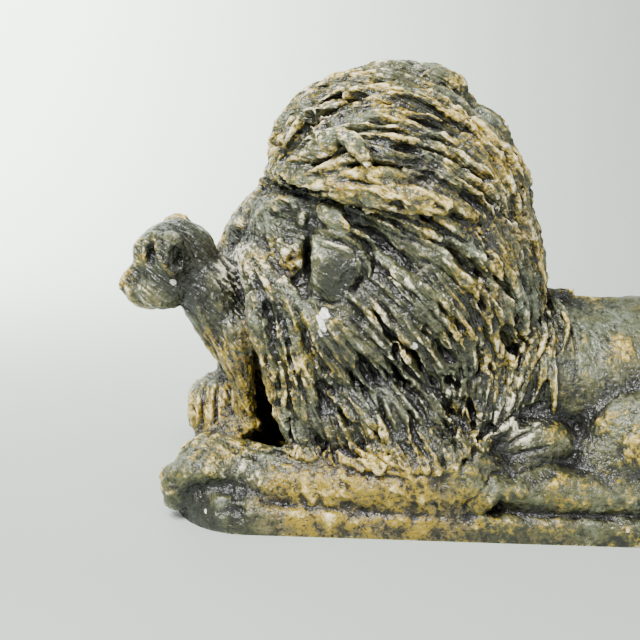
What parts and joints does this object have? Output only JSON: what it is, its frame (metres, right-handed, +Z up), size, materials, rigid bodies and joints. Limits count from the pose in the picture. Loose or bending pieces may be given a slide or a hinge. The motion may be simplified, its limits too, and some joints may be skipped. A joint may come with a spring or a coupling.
{
  "type": "lion and cub sculpture",
  "caption": "Cast plaster sculpture of a lying lion with a full mane and a cub standing between its forelegs, on a low plinth.",
  "frame": {"origin": "centre of the bounding box at the underside of the plinth", "axes": "+Z up; the lion lies along X and faces -X; its left side, the side in the picture, faces -Y"},
  "size_m": [0.6426, 0.2566, 0.36],
  "materials": {
    "patinated_plaster": "plaster cast with a dark greenish black patina, ochre rubbed on the raised parts and a varnish gloss, chipped to white in places"
  },
  "bodies": {
    "root": {"lion_and_cub": "patinated_plaster"}
  },
  "joints": []
}
